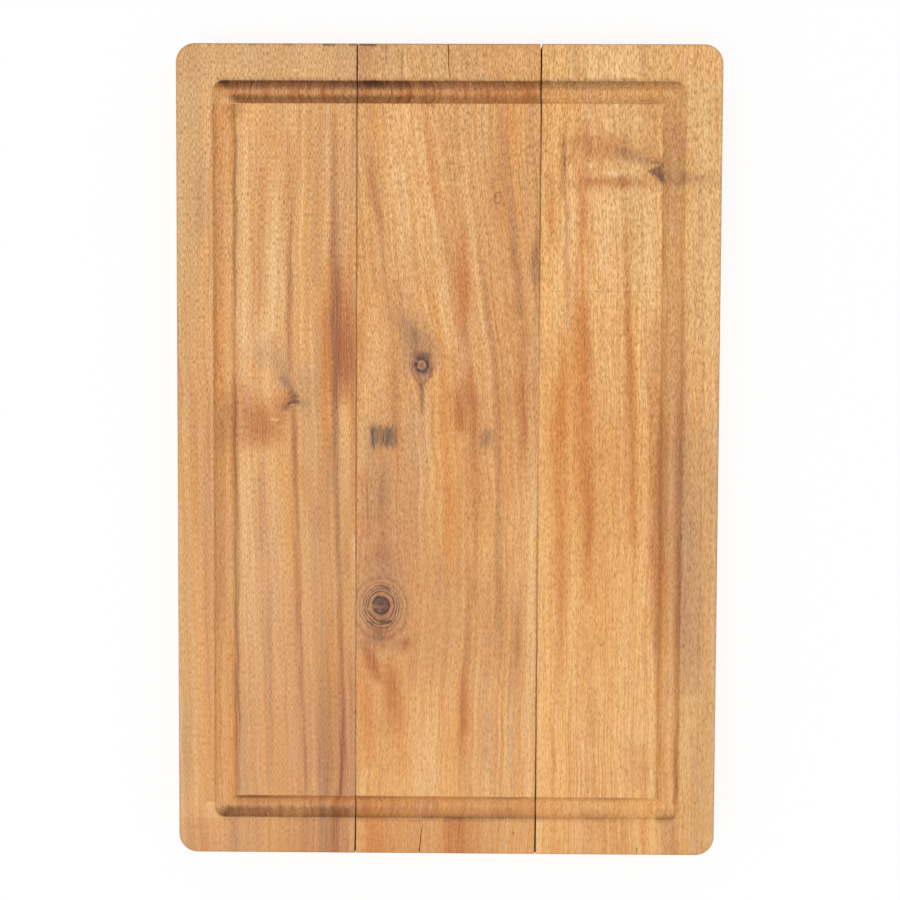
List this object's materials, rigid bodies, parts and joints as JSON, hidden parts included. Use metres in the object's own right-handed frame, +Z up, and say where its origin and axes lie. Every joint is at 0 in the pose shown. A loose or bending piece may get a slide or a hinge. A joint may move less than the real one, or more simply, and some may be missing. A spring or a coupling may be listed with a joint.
{
  "type": "chopping board",
  "caption": "Thick rectangular acacia chopping board, glued up from planks, with rounded corners and a juice groove round its top face.",
  "frame": {"origin": "middle of the underside, on the surface that the board lies on", "axes": "+Z up out of the grooved top face, +Y along the planks and their grain, +X to the right across the planks"},
  "size_m": [0.4, 0.6, 0.038],
  "materials": {
    "acacia_left": "oiled, satin",
    "acacia_middle": "oiled, satin",
    "acacia_right": "oiled, satin"
  },
  "bodies": {
    "root": {"plank_left": "acacia_left", "plank_middle": "acacia_middle", "plank_right": "acacia_right"}
  },
  "joints": []
}
